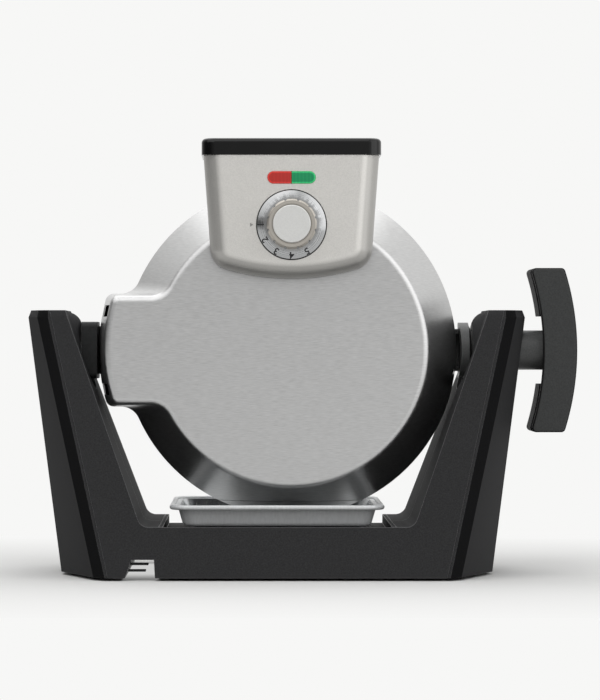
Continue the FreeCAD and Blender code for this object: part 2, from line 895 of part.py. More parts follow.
def make_axles():
    ring_start = bearing_end + seat_gap
    trunnion = rod_x(axle_radius, neck_end, ring_start + ring_width + trunnion_tail)
    pieces["left_trunnion"] = to_left(trunnion.cut(snap_ring(ring_start)))
    pieces["left_snap_ring"] = to_left(snap_ring(ring_start))

    swing = rod_y(rim_radius + collar_gap, -collar_radius, collar_radius, disc_offset, axle_height)
    collar = rod_x(collar_radius, rim_right, collar_end).cut(swing)
    cone = Part.makeCone(
        collar_radius - cone_step,
        axle_radius + cone_step,
        cone_end - collar_end,
        vec(collar_end, 0, axle_height),
        vec(1, 0, 0))
    root = box(
        (disc_offset + reflector_radius + seat_gap, collar_start),
        (ring_depth, ring_depth + root_depth),
        (axle_height - collar_root_half, axle_height + collar_root_half))
    bolt_z = axle_height - bolt_drop
    thumb_start = collar_start + thumb_inset
    thumb_end = thumb_start + thumb_width
    bolt_bore = rod_x(bolt_radius + running_gap, rim_right, cone_end, bolt_y, bolt_z)
    thumb_slot = box(
        (rim_right, thumb_end + bolt_hole_gap),
        (bolt_y - thumb_half - bolt_hole_gap, bolt_y + thumb_half + bolt_hole_gap),
        (axle_height - thumb_reach, bolt_z))
    shaft_bore = rod_x(axle_radius, rim_right, cone_end)
    pieces["axle_boss"] = joined([collar, cone, root]).cut(shaft_bore).cut(bolt_bore).cut(thumb_slot)
    pieces["handle_shaft"] = rod_x(axle_radius, collar_start, shaft_end()).cut(snap_ring(ring_start))
    pieces["right_snap_ring"] = snap_ring(ring_start)

    bolt_tip = collar_start - bolt_lead
    bolt = rod_x(bolt_radius, bolt_tip, bolt_tip + bolt_length, bolt_y, bolt_z)
    thumb = box(
        (thumb_start, thumb_end),
        (bolt_y - thumb_half, bolt_y + thumb_half),
        (axle_height - thumb_reach, bolt_z))
    pieces["lock_bolt"] = joined([bolt, thumb])


# Handle

def handle_inner():
    """The grip's inner edge at its middle, a hand's room outside the right arm."""
    return along(axle_height, outer_half_low, outer_half_high) + hand_room


def shaft_end():
    return handle_inner() + shaft_seat


def crescent(inset, start, end):
    """Curved grip between two equal arcs that bulge away from the stand, with rounded ends."""
    half = handle_length / 2 - inset
    drop = handle_arc - math.sqrt(handle_arc ** 2 - half ** 2)

    def edge(x):
        points = [vec(x - drop, start, axle_height - half), vec(x, start, axle_height)]
        return points + [vec(x - drop, start, axle_height + half)]

    inner = edge(handle_inner() + inset)
    outer = edge(handle_inner() + handle_thickness - inset)
    wire = Part.Wire([
        Part.Arc(*inner).toShape(),
        Part.LineSegment(inner[2], outer[2]).toShape(),
        Part.Arc(*reversed(outer)).toShape(),
        Part.LineSegment(outer[0], inner[0]).toShape(),
    ])
    grip = Part.Face(wire).extrude(vec(0, end - start, 0))
    corners = [e for e in grip.Edges if e.BoundBox.YLength > seam]
    return grip.makeFillet(handle_corner, corners)


def shaft_notches(start, end):
    """Stepped cut-out round the shaft in the grip's inner side."""
    notches = []
    for half, depth in ((notch_half, notch_depth), (notch_half - notch_step, notch_depth + notch_step)):
        x_range = (bearing_end, handle_inner() + depth)
        notches.append(box(x_range, (start, end), (axle_height - half, axle_height + half)))
    return notches


def make_handle():
    half = handle_depth / 2
    plate_rear = handle_plate - half
    shell_front = plate_rear + handle_groove
    shaft = rod_x(axle_radius + running_gap, collar_start, shaft_end())
    front = crescent(0, -half, plate_rear)
    front = front.makeFillet(handle_bevel, [e for e in front.Edges if e.BoundBox.YMax < -half + seam])
    rear = crescent(0, shell_front, half)
    rear = rear.makeFillet(handle_bevel, [e for e in rear.Edges if e.BoundBox.YMin > half - seam])
    for notch in shaft_notches(shell_front, half):
        rear = rear.cut(notch)
    rear = rear.cut(shaft)
    core = crescent(handle_core_inset, plate_rear, shell_front).cut(shaft)
    drop = handle_arc - math.sqrt(handle_arc ** 2 - handle_screw_offset ** 2)
    x = handle_inner() + handle_thickness / 2 - drop
    seat = half - screw_well_depth
    screws = []
    for z in (axle_height - handle_screw_offset, axle_height + handle_screw_offset):
        shank = rod_y(screw_radius, plate_rear - handle_screw_tip, seat, x, z)
        screw = joined([shank, rod_y(screw_head_radius, seat, seat + screw_head_height, x, z)])
        rear = rear.cut(shank).cut(rod_y(screw_head_radius + screw_well_gap, seat, half, x, z))
        core = core.cut(shank)
        front = front.cut(shank)
        screws.append(screw)
    pieces["handle_front"] = front
    pieces["handle_rear"] = rear
    pieces["handle_core"] = core
    pieces["handle_screws"] = Part.makeCompound(screws)


# Control box

def box_block(inset, start, end):
    """Block with the control box's front: tapered sides, a hanging curve below and round lower corners."""
    half_high = box_half_high - inset
    half_low = box_half_low - inset
    side_low = box_top - box_side_height + inset
    low = box_top - box_height + inset
    x = box_center
    edges = [
        Part.Arc(vec(x - half_low, start, side_low), vec(x, start, low), vec(x + half_low, start, side_low)),
        Part.LineSegment(vec(x + half_low, start, side_low), vec(x + half_high, start, box_top)),
        Part.LineSegment(vec(x + half_high, start, box_top), vec(x - half_high, start, box_top)),
        Part.LineSegment(vec(x - half_high, start, box_top), vec(x - half_low, start, side_low)),
    ]
    outline = Part.Wire([edge.toShape() for edge in edges])
    block = Part.Face(outline).extrude(vec(0, end - start, 0))
    corners = [e for e in block.Edges if e.BoundBox.YLength > seam and e.BoundBox.ZMax < box_top - seam]
    return block.makeFillet(box_corner - inset, corners)


def light_form(inset, start, end):
    """Capsule of the two lights."""
    radius = light_height / 2 - inset
    half = (light_length - light_height) / 2
    ends = [rod_y(radius, start, end, box_center + side * half, light_z) for side in (-1, 1)]
    bar = box((box_center - half, box_center + half), (start, end), (light_z - radius, light_z + radius))
    return joined([bar] + ends)


def make_control_box():
    cover = to_front(cover_form(0))
    room = box_block(box_wall, -panel_back, -box_back - box_wall)
    pieces["control_housing"] = box_block(0, -panel_back, -box_back).cut(room).cut(cover)

    panel = box_block(0, -panel_back, -panel_front)
    rounds = [
        e for e in panel.Edges
        if e.BoundBox.YMax < -panel_front + seam and e.BoundBox.ZMin < box_top - seam
    ]
    panel = panel.makeFillet(panel_round, rounds)
    room = box_block(panel_room_inset, -panel_back, -panel_front + panel_wall)
    dial_hole = rod_y(dial_shaft_radius + seat_gap, -panel_front, -panel_back, box_center, dial_z)
    lights = light_form(0, -panel_front, -panel_back)
    pieces["control_panel"] = panel.cut(room).cut(dial_hole).cut(lights)

    cap_half = box_half_high + cap_side
    cap_front = -panel_front - cap_proud
    cap_top = box_top + cap_height
    cap = box((box_center - cap_half, box_center + cap_half), (cap_front, -box_back), (box_top, cap_top))
    uprights = [e for e in cap.Edges if e.BoundBox.ZLength > seam and e.BoundBox.YMax < cap_front + seam]
    cap = cap.makeFillet(cap_corner, uprights)
    tops = [e for e in cap.Edges if e.BoundBox.ZMin > cap_top - seam]
    pieces["control_end_cap"] = cap.makeFillet(cap_round, tops)

    lens = light_form(light_seat, -panel_front - light_proud, -panel_front + panel_wall)
    split = light_seat / 2
    rises = (light_z - light_height, light_z + light_height)
    depths = (-panel_front - light_height, 0)
    left_half = box((box_center - light_length, box_center - split), depths, rises)
    right_half = box((box_center + split, box_center + light_length), depths, rises)
    pieces["red_lens"] = lens.common(left_half)
    pieces["green_lens"] = lens.common(right_half)

    back = -panel_front + panel_wall
    half = thermostat_size / 2
    body = box(
        (box_center - half, box_center + half),
        (back, back + thermostat_depth),
        (dial_z - half, dial_z + half))
    bore = rod_y(dial_shaft_radius + running_gap, back, back + thermostat_depth, box_center, dial_z)
    pieces["thermostat"] = body.cut(bore)


def make_dial():
    """Conical skirt for the numbers, grooved grip and the disc set into it."""
    back = -panel_front - dial_gap
    skirt_front = back - dial_skirt_depth
    edge = rod_y(dial_skirt_radius, back - dial_skirt_edge, back, box_center, dial_z)
    slope = Part.makeCone(
        dial_skirt_radius,
        dial_skirt_neck,
        dial_skirt_depth - dial_skirt_edge,
        vec(box_center, back - dial_skirt_edge, dial_z),
        vec(0, -1, 0))
    shaft_rear = -panel_front + dial_shaft_length - dial_grip_depth
    shaft = rod_y(dial_shaft_radius, skirt_front, shaft_rear, box_center, dial_z)
    pieces["dial_skirt"] = joined([edge, slope, shaft])
    grip_front = skirt_front - dial_grip_depth
    grip = rod_y(dial_grip_radius, grip_front, skirt_front, box_center, dial_z)
    rim = [e for e in grip.Edges if e.BoundBox.YMax < grip_front + seam]
    grip = grip.makeChamfer(dial_lip, rim)
    for step in range(dial_grooves):
        angle = 2 * math.pi * (step + 0.5) / dial_grooves
        x = box_center + dial_grip_radius * math.cos(angle)
        z = dial_z + dial_grip_radius * math.sin(angle)
        grip = grip.cut(rod_y(dial_groove, grip_front, skirt_front, x, z))
    seat = rod_y(dial_cap_radius + dial_cap_gap, grip_front, grip_front + dial_cap_depth, box_center, dial_z)
    pieces["dial_grip"] = grip.cut(seat)
    cap_front = grip_front - dial_cap_depth / 2
    cap = rod_y(dial_cap_radius, cap_front, grip_front + dial_cap_depth, box_center, dial_z)
    cap_edge = [e for e in cap.Edges if e.BoundBox.YMax < cap_front + seam]
    pieces["dial_cap"] = cap.makeFillet(dial_cap_depth / 2, cap_edge)


def main():
    make_shells()
    make_inserts()
    make_underside()
    make_bearings()
    make_tray()
    make_covers()
    make_halves()
    make_hinge()
    make_axles()
    make_handle()
    make_control_box()
    make_dial()
    widest = along(stand_height - crown, outer_half_low, outer_half_high)
    shift = vec((widest - handle_inner() - handle_thickness) / 2, 0, 0)
    os.makedirs("parts", exist_ok=True)
    for name, shape in pieces.items():
        shape.translate(shift)
        shape.exportStep(f"parts/{name}.step")
        print(name, len(shape.Solids), round(shape.Volume), shape.isValid())


main()
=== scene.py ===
import bpy
import math
from mathutils import Matrix, Vector


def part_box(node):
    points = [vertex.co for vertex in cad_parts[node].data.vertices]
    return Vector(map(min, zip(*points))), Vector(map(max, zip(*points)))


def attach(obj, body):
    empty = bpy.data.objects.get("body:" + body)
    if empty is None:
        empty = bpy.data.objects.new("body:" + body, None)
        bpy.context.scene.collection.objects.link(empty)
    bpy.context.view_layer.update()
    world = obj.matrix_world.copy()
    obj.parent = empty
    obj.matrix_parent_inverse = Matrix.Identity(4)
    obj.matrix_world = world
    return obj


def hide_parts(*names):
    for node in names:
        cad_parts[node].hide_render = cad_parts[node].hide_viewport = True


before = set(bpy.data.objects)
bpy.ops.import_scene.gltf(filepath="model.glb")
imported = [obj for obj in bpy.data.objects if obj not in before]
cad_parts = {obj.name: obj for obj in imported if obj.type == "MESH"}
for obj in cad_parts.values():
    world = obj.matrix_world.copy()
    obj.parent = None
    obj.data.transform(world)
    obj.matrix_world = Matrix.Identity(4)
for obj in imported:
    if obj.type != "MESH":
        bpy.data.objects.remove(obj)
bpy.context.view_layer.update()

# Stand: two ABS shells from a grained tool that meet in the object's middle plane, closed from below over
# their inserts. A side cover is clipped over the outside of each arm, with a slanting strip along the front
# that is painted darker as shade.
# Inserts for the tray and the cord, the bearing rings and the plates below are moulded in the same black.


def linear(code):
    """Linear colour of a written sRGB code."""
    parts = [int(code[i:i + 2], 16) / 255 for i in (1, 3, 5)]
    return [p / 12.92 if p <= 0.04045 else ((p + 0.055) / 1.055) ** 2.4 for p in parts] + [1.0]


def add(tree, kind, settings=None, links=None):
    """One more shader node: settings are its own values or its sockets' values, links feed its sockets."""
    made = tree.nodes.new("ShaderNode" + kind)
    for name, value in (settings or {}).items():
        if isinstance(name, str) and hasattr(made, name):
            setattr(made, name, value)
        else:
            made.inputs[name].default_value = value
    for name, output in (links or {}).items():
        tree.links.new(output, made.inputs[name])
    return made


def blank(name, **values):
    """New material with its plain values set on the shader's own sockets."""
    made = bpy.data.materials.new(name)
    made.use_nodes = True
    shader = made.node_tree.nodes["Principled BSDF"]
    for socket, value in values.items():
        shader.inputs[socket.replace("_", " ")].default_value = value
    return made, made.node_tree, shader


# Nearly all of a noise lies between these two shares of its range.
noise_low, noise_high = 0.32, 0.68
bump_strength = 0.5


def follow(tree, shader, pattern, tones, gloss, depth):
    """Tone, gloss and height of a surface from one pattern."""
    tone = add(tree, "ValToRGB", links={"Fac": pattern})
    for stop, share, code in zip(tone.color_ramp.elements, (noise_low, noise_high), tones):
        stop.position = share
        stop.color = linear(code)
    limits = {"From Min": noise_low, "From Max": noise_high, "To Min": gloss[0], "To Max": gloss[1]}
    sheen = add(tree, "MapRange", limits, {"Value": pattern})
    bump = add(tree, "Bump", {"Strength": bump_strength, "Distance": depth}, {"Height": pattern})
    tree.links.new(tone.outputs["Color"], shader.inputs["Base Color"])
    tree.links.new(sheen.outputs["Result"], shader.inputs["Roughness"])
    tree.links.new(bump.outputs["Normal"], shader.inputs["Normal"])


grain_detail = 3.0


def surfaced(name, tones, gloss, grain, depth, **values):
    """Material with one grain, whose size in metres is the same all ways or given along X, Y and Z."""
    made, tree, shader = blank(name, **values)
    sizes = grain if isinstance(grain, tuple) else (grain, grain, grain)
    scale = [1 / size for size in sizes]
    place = add(tree, "TexCoord")
    fitted = add(tree, "Mapping", {"Scale": scale}, {"Vector": place.outputs["Object"]})
    fine = {"Scale": 1.0, "Detail": grain_detail}
    noise = add(tree, "TexNoise", fine, {"Vector": fitted.outputs["Vector"]})
    follow(tree, shader, noise.outputs["Fac"], tones, gloss, depth)
    return made


def alone(piece):
    """The piece as the only selected and active one."""
    bpy.ops.object.select_all(action="DESELECT")
    piece.select_set(True)
    bpy.context.view_layer.objects.active = piece


def traced(node):
    """A new piece with a copy of a CAD node's mesh."""
    piece = bpy.data.objects.new(node + "_dressed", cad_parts[node].data.copy())
    bpy.context.collection.objects.link(piece)
    return piece


merge_distance = 0.000004
flat_angle = math.radians(0.4)


def merged(node):
    """A CAD node's copy with its triangles merged to whole faces."""
    piece = traced(node)
    alone(piece)
    bpy.ops.mesh.customdata_custom_splitnormals_clear()
    bpy.ops.object.mode_set(mode="EDIT")
    bpy.ops.mesh.select_all(action="SELECT")
    bpy.ops.mesh.remove_doubles(threshold=merge_distance)
    bpy.ops.mesh.dissolve_limited(angle_limit=flat_angle)
    bpy.ops.object.mode_set(mode="OBJECT")
    return piece


def coated(piece, materials):
    """The piece in these materials alone."""
    piece.data.materials.clear()
    for material in materials:
        piece.data.materials.append(material)


def painted(piece, material, chosen):
    """The faces that the test picks, in one more material."""
    piece.data.materials.append(material)
    last = len(piece.data.materials) - 1
    for face in piece.data.polygons:
        if chosen(face):
            face.material_index = last


def placed(piece, node, body):
    """The piece in its node's place."""
    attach(piece, body)
    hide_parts(node)
    return piece


sharp_angle = math.radians(32)
round_segments = 2
usual_crease = 34


def rounded(piece, node, body, materials, round_over, crease=usual_crease):
    """Sharp edges rounded over in the last of the materials, and even shading up to the crease's angle."""
    alone(piece)
    coated(piece, materials)
    if round_over:
        edge = piece.modifiers.new("round_over", "BEVEL")
        edge.width = round_over
        edge.segments = round_segments
        edge.limit_method = "ANGLE"
        edge.angle_limit = sharp_angle
        edge.material = len(materials) - 1
        bpy.ops.object.modifier_apply(modifier="round_over")
    bpy.ops.object.shade_smooth_by_angle(angle=math.radians(crease))
    even = piece.modifiers.new("even_shading", "WEIGHTED_NORMAL")
    even.keep_sharp = True
    bpy.ops.object.modifier_apply(modifier="even_shading")
    return placed(piece, node, body)


def dressed(node, body, materials, round_over=0.0, crease=usual_crease):
    """A CAD node's copy with whole faces, and with rounded edges where a size is given."""
    return rounded(merged(node), node, body, materials, round_over, crease)


def sheeted(node, body, material):
    """A CAD node's copy with its own smooth normals, for pieces that are round or keep crisp edges."""
    piece = traced(node)
    coated(piece, (material,))
    return placed(piece, node, body)


# Black ABS from a grained tool: a soft even sheen with a fine speckle. The real grain is 0.3 mm and would not
# show, so it is drawn at 0.9 mm. Edges get a lighter, glossier tone as painted highlight,
# and the slanting strip a darker tone as painted shade, with a duller finish.
abs_grain = 0.0009
abs_ior = 1.54
stand_abs = surfaced(
    "moulded_abs_black", tones=("#343435", "#3f3f40"), gloss=(0.64, 0.78), grain=abs_grain, depth=0.00009,
    IOR=abs_ior, Specular_IOR_Level=0.05)
edge_highlight = surfaced(
    "abs_edge_painted_highlight", tones=("#6a6a6c", "#7c7c7e"), gloss=(0.36, 0.46), grain=abs_grain, depth=0.00004,
    IOR=abs_ior, Specular_IOR_Level=0.2)
strip_shade = surfaced(
    "abs_strip_painted_shade", tones=("#151516", "#1c1c1d"), gloss=(0.7, 0.85), grain=abs_grain, depth=0.00009,
    IOR=abs_ior, Specular_IOR_Level=0.04)
stand_round = 0.0007
stand_crease = 24
insert_round = 0.0005
insert_crease = 30
strip_lean_low, strip_lean_high = 0.4, 0.75
strip_forward = 0.6


def on_strip(face):
    """Whether a side cover's face lies in the slanting strip between front and side, painted as shade."""
    slants = strip_lean_low < abs(face.normal.x) < strip_lean_high
    return slants and abs(face.normal.y) > strip_forward and face.material_index == 0


# The rounded edges of the shells, covers and inserts take the lighter edge tone as painted highlight.
for shell in ("base_front_shell", "base_rear_shell"):
    dressed(shell, "base", (stand_abs, edge_highlight), stand_round, stand_crease)
for cover in ("left_side_cover", "right_side_cover"):
    piece = dressed(cover, "base", (stand_abs, edge_highlight), stand_round, stand_crease)
    # Painted shade: the cover's slanting strip takes the darker strip tone.
    painted(piece, strip_shade, on_strip)
for insert in ("tray_seat_insert", "right_bearing", "left_bearing"):
    dressed(insert, "base", (stand_abs, edge_highlight), insert_round, insert_crease)
for plate in ("base_bottom_plate", "base_left_plate"):
    sheeted(plate, "base", stand_abs)

# Cord channel: a pale moulding through the stand, open below and at both ends.
# Two thin black fins stand in its front mouth and hold the cord.
# Uncoloured ABS looks like a dull cool grey with a faint cloud in it; the cloud is about 3 mm.
channel_abs = surfaced(
    "uncoloured_abs", tones=("#dadbda", "#e6e6e5"), gloss=(0.5, 0.62), grain=0.003, depth=0.00004,
    IOR=abs_ior)
fin_low, fin_high = 0.0055, 0.0125
fin_rear = -0.068
square_on = 0.99


def on_fin(face):
    """Whether a face of the channel belongs to a fin, by its height and its distance from the front."""
    flat = max(abs(share) for share in face.normal) > square_on
    return flat and fin_low < face.center.z < fin_high and face.center.y < fin_rear


channel = dressed("cord_channel", "base", (channel_abs,))
painted(channel, stand_abs, on_fin)

# Screws under the stand, on the rear cover and in the handle: plated steel with pan heads and a cross recess.
# They are driven into posts in the mouldings and into the bosses of the waffle plates.
# Bright zinc looks like silver with a faint bluish cloud of about 1.5 mm.
screw_zinc = surfaced(
    "zinc_plated_steel", tones=("#a9abae", "#bcbdbe"), gloss=(0.26, 0.4), grain=0.0015, depth=0.00002,
    Metallic=1.0)
screw_round = 0.0003
head_area = 0.00003
recess_length = 0.0042
recess_width = 0.0011
recess_depth = 0.001


def cross_cutter(center, outward):
    """Two crossed bars that cut a screw's recess."""
    bars = []
    for turn in (0, 90):
        bpy.ops.object.select_all(action="DESELECT")
        bpy.ops.mesh.primitive_cube_add(size=1)
        bar = bpy.context.object
        size = (recess_length, recess_width, 2 * recess_depth)
        place = Matrix.Translation(center) @ outward.to_track_quat("Z", "X").to_matrix().to_4x4()
        bar.matrix_world = place @ Matrix.Rotation(math.radians(turn), 4, "Z") @ Matrix.Diagonal((*size, 1))
        bars.append(bar)
    return bars


def recessed(node, body, outward):
    """The node's screws with a cross cut into every head."""
    piece = merged(node)
    outward = Vector(outward)
    ends = [face for face in piece.data.polygons if face.normal.dot(outward) > square_on]
    heads = [face.center.copy() for face in ends if face.area > head_area]
    for center in heads:
        for bar in cross_cutter(center, outward):
            cut = piece.modifiers.new("recess", "BOOLEAN")
            cut.object = bar
            alone(piece)
            bpy.ops.object.modifier_apply(modifier="recess")
            bpy.data.objects.remove(bar)
    return rounded(piece, node, body, (screw_zinc,), screw_round)


recessed("base_screws", "base", (0, 0, -1))
recessed("rear_cover_screws", "cooker", (0, 1, 0))
recessed("handle_screws", "cooker", (0, 1, 0))

# Feet: four rubber pads glued under the corners of the stand.
# They are the only faces that touch the worktop.
# Moulded rubber looks dull and dusty; its specks are drawn at 1.2 mm.
foot_rubber = surfaced(
    "moulded_rubber", tones=("#343433", "#404040"), gloss=(0.74, 0.88), grain=0.0012, depth=0.0001,
    Specular_IOR_Level=0.2)
foot_round = 0.0006
dressed("rubber_feet", "base", (foot_rubber,), foot_round)

# Bushes: plain sleeves turned from dark acetal and pressed into the bearing rings.
# The trunnion and the shaft turn in them.
# Turned acetal looks waxy, with turning marks along its length drawn 0.8 mm apart.
bush_acetal = surfaced(
    "turned_acetal", tones=("#343433", "#40403f"), gloss=(0.4, 0.55), grain=(0.0008, 0.02, 0.02),
    depth=0.00003, IOR=1.48)
bush_round = 0.0004
for bush in ("left_bush", "right_bush"):
    dressed(bush, "base", (bush_acetal,), bush_round)

# Drip tray: a pan deep-drawn from aluminium sheet, with a rolled rim and round corners.
# It stands loose on the raised deck of its seat.
# Drawn aluminium looks silver grey with upright drawing marks; they are drawn 1.5 mm apart and 12 mm long.
drawing_marks = (0.0015, 0.0015, 0.012)
tray_alu = surfaced(
    "drawn_aluminium", tones=("#e6e8e9", "#eff1f2"), gloss=(0.34, 0.44), grain=drawing_marks, depth=0.00001,
    Metallic=0.1)
# The punch burnishes the inside below the rim, so it looks like a dim mirror.
tray_inside = surfaced(
    "burnished_aluminium", tones=("#b4b6b7", "#c2c4c5"), gloss=(0.2, 0.28), grain=drawing_marks,
    depth=0.00001, Metallic=1.0)
tray_low, tray_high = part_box("drip_tray")
tray_middle = (Vector(tray_low) + Vector(tray_high)) / 2
tray_rim = 0.003
tray_floor_tilt = 0.7


def in_tray(face):
    """Whether a face of the tray lies below the rim and points inwards or up."""
    inward = face.normal.dot(face.center - tray_middle) < 0
    return face.center.z < tray_high[2] - tray_rim and (inward or face.normal.z > tray_floor_tilt)


tray = sheeted("drip_tray", "tray", tray_alu)
painted(tray, tray_inside, in_tray)

# Covers: stainless sheet pressed to a flat-faced dish for each half, the front one with the hinge block.
# The lowest edge of the front dish is a lip on the rear half, so that the lid swings over the tray.
# Level brushing streaks the reflections; the scratches are 0.15 mm high and drawn at 0.3 mm to show.
cover_steel = surfaced(
    "brushed_stainless", tones=("#b8b8b8", "#cacaca"), gloss=(0.3, 0.41), grain=(0.0055, 0.0055, 0.0003),
    depth=0.000004, Metallic=1.0)
sheeted("rear_cover", "cooker", cover_steel)
sheeted("overflow_lip", "cooker", cover_steel)
sheeted("front_cover", "lid", cover_steel)

# Rim rings: black mouldings inside the edge of each half, between the sheet and the waffle plate.
# The two meet at the parting line, and their ledges carry the plates.
# Glass-filled nylon looks dark and slightly flowed; the flow marks are about 1.6 mm.
rim_nylon = surfaced(
    "glass_filled_nylon", tones=("#1b1b1c", "#242425"), gloss=(0.42, 0.6), grain=0.0016, depth=0.00005,
    IOR=1.53)
sheeted("rear_rim", "cooker", rim_nylon)
sheeted("front_rim", "lid", rim_nylon)

# Waffle plates: cast aluminium with tapered posts and a cross rib, coated and then screwed to the covers.
# Batter fills the valleys between them.
# The sprayed non-stick coat looks charcoal with a soft gloss and an orange peel of about 1.4 mm.
plate_coat = surfaced(
    "sprayed_nonstick", tones=("#313132", "#3d3d3e"), gloss=(0.3, 0.42), grain=0.0014, depth=0.0001, IOR=1.38)
sheeted("rear_plate", "cooker", plate_coat)
sheeted("front_plate", "lid", plate_coat)

# Heaters: a sheathed tube bent round the back of each waffle plate, over a dish that throws the heat forward.
# Both are hidden behind the plates and held by the plates' bosses.
# Annealed steel looks brown grey with scale marks of about 4 mm.
element_tube = surfaced(
    "annealed_steel", tones=("#5f5a54", "#756f67"), gloss=(0.42, 0.62), grain=0.004, depth=0.00005,
    Metallic=1.0)
dressed("rear_element", "cooker", (element_tube,))
dressed("front_element", "lid", (element_tube,))
# Aluminised sheet looks pale with a frosty spangle of about 6 mm.
dish_sheet = surfaced(
    "aluminised_sheet", tones=("#a6a7a9", "#b9babc"), gloss=(0.32, 0.48), grain=0.006, depth=0.00003,
    Metallic=1.0)
dressed("rear_reflector", "cooker", (dish_sheet,))
dressed("front_reflector", "lid", (dish_sheet,))

# Hinge: a die casting painted black on the rear half, with the lugs for the hinge pin and the left trunnion.
# The knuckle inside the lid turns on the pin.
# The paint looks evenly dark with an orange peel of about 2 mm; its rounded edges take the lighter edge tone
# as painted highlight.
casting_paint = surfaced(
    "painted_die_casting", tones=("#292a2a", "#333334"), gloss=(0.4, 0.52), grain=0.002, depth=0.00006,
    Specular_IOR_Level=0.2)
bracket_round = 0.0006
dressed("hinge_bracket", "cooker", (casting_paint, edge_highlight), bracket_round)
sheeted("lid_knuckle", "lid", casting_paint)

# Axle parts: the left trunnion, the hinge pin, the retaining rings and the lock bolt are turned steel.
# The rings snap into grooves outside the bushes.
# Turned steel looks bright with fine rings along the axle, drawn 0.9 mm apart.
axle_steel = surfaced(
    "turned_steel", tones=("#9fa0a1", "#b1b2b3"), gloss=(0.22, 0.36), grain=(0.0009, 0.05, 0.05),
    depth=0.00002, Metallic=1.0)
trunnion_round = 0.0003
pin_round = 0.0002
dressed("left_trunnion", "cooker", (axle_steel,), trunnion_round)
for small in ("hinge_pin", "left_snap_ring", "right_snap_ring"):
    dressed(small, "cooker", (axle_steel,), pin_round)
sheeted("lock_bolt", "lock", axle_steel)

# Handle: a curved grip of a front plate and a rear shell over a core, held by two screws from behind.
# Its shaft goes through the right arm into the boss on the cooker, which also holds the lock bolt.
# The grip's front looks a little lighter and smoother than the stand, and its rear shell darker; the front
# plate's sides take the rear shell's darker tone as painted shade.
grip_abs = surfaced(
    "moulded_abs_grip", tones=("#434444", "#4e4f4f"), gloss=(0.5, 0.62), grain=abs_grain, depth=0.00006,
    IOR=abs_ior, Specular_IOR_Level=0.12)
grip_dark_and_side_shade = surfaced(
    "moulded_abs_grip_rear_and_side_shade", tones=("#1c1c1d", "#252526"), gloss=(0.55, 0.7), grain=abs_grain, depth=0.00006,
    IOR=abs_ior, Specular_IOR_Level=0.08)
# The turned shaft and boss look satin and catch a soft light along their length; their tone is also
# painted lighter than the grip's, as painted light where they sit in shade.
shaft_painted_light = surfaced(
    "turned_abs_satin_painted_light", tones=("#515252", "#5e5f5f"), gloss=(0.32, 0.42), grain=abs_grain, depth=0.00003,
    IOR=abs_ior, Specular_IOR_Level=0.3)
grip_forward = 0.85
grip_round = 0.0007
shaft_round = 0.0004
boss_round = 0.0006


def beside_front(face):
    """Whether a face of the grip's front plate doesn't point forward."""
    return -face.normal.y < grip_forward


grip_plate = sheeted("handle_front", "cooker", grip_abs)
# Painted shade: the front plate's faces that don't point forward take the darker grip tone.
painted(grip_plate, grip_dark_and_side_shade, beside_front)
dressed("handle_rear", "cooker", (grip_dark_and_side_shade,), grip_round)
dressed("handle_shaft", "cooker", (shaft_painted_light,), shaft_round)
dressed("axle_boss", "cooker", (shaft_painted_light,), boss_round)
sheeted("handle_core", "cooker", rim_nylon)

# Control box: a black housing on the lid, with a silver front clipped over it and a glossy cap on top.
# The thermostat is fixed behind the front.
# Silver lacquer looks pale and slightly warm, with a fine metal flake drawn at 0.7 mm.
flake_size = 0.0007
panel_lacquer = surfaced(
    "silver_lacquer", tones=("#d4d2ce", "#dfddd9"), gloss=(0.34, 0.46), grain=flake_size, depth=0.00001,
    Metallic=0.85)
# Painted shade: behind its front face the lacquer's tone is darkened to 60% round the panel's rounded sides.
panel_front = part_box("control_panel")[0][1]
shade_start, shade_end = 0.0001, 0.0011
side_shade_share = 0.6
tree = panel_lacquer.node_tree
place = add(tree, "TexCoord")
parts = add(tree, "SeparateXYZ", links={"Vector": place.outputs["Object"]})
side_shade_limits = {
    "From Min": panel_front + shade_start, "From Max": panel_front + shade_end,
    "To Min": 1.0, "To Max": side_shade_share}
side_shade = add(tree, "MapRange", side_shade_limits, {"Value": parts.outputs["Y"]})
shader = tree.nodes["Principled BSDF"]
full_tone = shader.inputs["Base Color"].links[0].from_socket
shaded_tone = add(tree, "VectorMath", {"operation": "SCALE"}, {0: full_tone, "Scale": side_shade.outputs["Result"]})
tree.links.new(shaded_tone.outputs["Vector"], shader.inputs["Base Color"])
panel_round = 0.0004
housing_round = 0.0006
dressed("control_panel", "lid", (panel_lacquer,), panel_round)
# The housing's rounded edges take the lighter edge tone as painted highlight.
dressed("control_housing", "lid", (stand_abs, edge_highlight), housing_round)
# Polished ABS looks deep black with clear reflections and wipe marks of about 2 cm.
cap_gloss = surfaced(
    "polished_abs_black", tones=("#09090a", "#0c0c0d"), gloss=(0.1, 0.17), grain=0.02, depth=0.0,
    IOR=abs_ior, Specular_IOR_Level=0.3)
sheeted("control_end_cap", "lid", cap_gloss)
# Pressed phenolic looks dull brown black with a 2 mm mottle.
thermostat_resin = surfaced(
    "pressed_phenolic", tones=("#4a4038", "#5a4e44"), gloss=(0.5, 0.65), grain=0.002, depth=0.00004)
sheeted("thermostat", "lid", thermostat_resin)

# Lights: two acrylic lenses, red and green, that meet in the middle of one capsule in the panel.
# Each is moulded with a thicker rim and clipped in from behind.
# The rim gathers light and looks bright, and the middle is darker with upright prisms 2.5 mm apart.
red_low, red_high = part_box("red_lens")
green_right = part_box("green_lens")[1][0]
lens_middle = ((red_low[0] + green_right) / 2, 0, (red_low[2] + red_high[2]) / 2)
lens_radius = (red_high[2] - red_low[2]) / 2
lens_straight = (green_right - red_low[0]) / 2 - lens_radius
lens_round = 0.0006
rim_share = 0.68
prism_pitch = 0.0025
prism_turn = 2 * math.pi / prism_pitch
prism_contrast = 0.07


